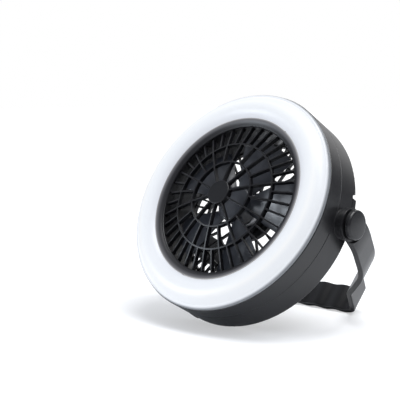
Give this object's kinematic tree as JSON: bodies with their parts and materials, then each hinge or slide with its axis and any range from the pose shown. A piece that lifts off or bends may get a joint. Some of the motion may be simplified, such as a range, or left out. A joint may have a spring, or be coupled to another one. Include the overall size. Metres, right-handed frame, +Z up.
{
  "type": "portable camping fan",
  "caption": "Round portable fan inside a ring lantern, standing on its folded-back bail handle, with a hook that folds out of the grip.",
  "frame": {"origin": "on the floor, under the middle of the standing object's bounding box", "axes": "+X along the handle's pivots, to the right seen from the front; the fan blows towards -Y and up; +Z up"},
  "size_m": [0.2062, 0.153, 0.1748],
  "materials": {
    "housing_black": "satin",
    "grille_black": "satin",
    "handle_black": "satin",
    "hook_black": "satin",
    "knob_black": "satin",
    "pin_black": "satin",
    "cap_black": "matt",
    "switch_grey": "satin",
    "rubber_cover": "matt",
    "diffuser_opal": "opal, satin",
    "board_white": "satin",
    "board_green": "satin",
    "led": "gloss",
    "blade_grey": "satin",
    "steel": "brushed",
    "brass": "plain",
    "screw_black": "blackened",
    "contact_metal": "plated",
    "cell": "wrapped"
  },
  "bodies": {
    "housing": {"front_housing": "housing_black", "rear_housing": "housing_black", "front_grille": "grille_black", "rear_grille": "grille_black", "light_diffuser": "diffuser_opal", "led_board": "board_white", "led_chips": "led", "motor_can": "steel", "motor_end_cap": "cap_black", "motor_bush": "brass", "switch_body": "cap_black", "control_board": "board_green", "dc_jack": "cap_black", "case_screws": "screw_black", "pivot_pin_right": "pin_black", "pivot_pin_left": "pin_black", "pivot_knob_right": "knob_black", "pivot_knob_left": "knob_black", "battery_contacts_right": "contact_metal", "battery_cell_right_1": "cell", "battery_cell_right_2": "cell", "battery_contacts_left": "contact_metal", "battery_cell_left_1": "cell", "battery_cell_left_2": "cell"},
    "impeller": {"impeller": "blade_grey", "motor_shaft": "steel"},
    "handle": {"handle": "handle_black", "hook_pin": "steel"},
    "hook": {"hook": "hook_black"},
    "power_switch": {"power_switch": "switch_grey"},
    "jack_cover": {"jack_cover": "rubber_cover"},
    "battery_door_right": {"battery_door_right": "housing_black"},
    "battery_door_left": {"battery_door_left": "housing_black"}
  },
  "joints": [
    {"name": "handle_swing", "type": "hinge", "parent": "housing", "child": "handle", "pos_m": [0, -0.0064, 0.08294], "axis": [1, 0, 0], "range_deg": [-73.97, 106.03]},
    {"name": "hook_fold", "type": "hinge", "parent": "handle", "child": "hook", "pos_m": [0, 0.0645, 0.01199], "axis": [0, -0.7074, -0.7068], "range_deg": [0, 90]},
    {"name": "fan_spin", "type": "hinge", "parent": "housing", "child": "impeller", "pos_m": [0, -0.01899, 0.08992], "axis": [0, -0.8746, 0.4848], "continuous": true},
    {"name": "power_slide", "type": "slide", "parent": "housing", "child": "power_switch", "axis": [0.9588, -0.1377, -0.2484], "range_m": [-0.003, 0.003]},
    {"name": "jack_cover_flap", "type": "hinge", "parent": "housing", "child": "jack_cover", "pos_m": [0, 0.01983, 0.17131], "axis": [1, 0, 0], "range_deg": [0, 100]},
    {"name": "battery_door_right_swing", "type": "hinge", "parent": "housing", "child": "battery_door_right", "pos_m": [0.06221, 0.00797, 0.0901], "axis": [-0.2079, 0.4742, 0.8555], "range_deg": [0, 60]},
    {"name": "battery_door_left_swing", "type": "hinge", "parent": "housing", "child": "battery_door_left", "pos_m": [-0.04575, 0.02298, 0.11717], "axis": [-0.6947, -0.3487, -0.6291], "range_deg": [0, 60]}
  ]
}
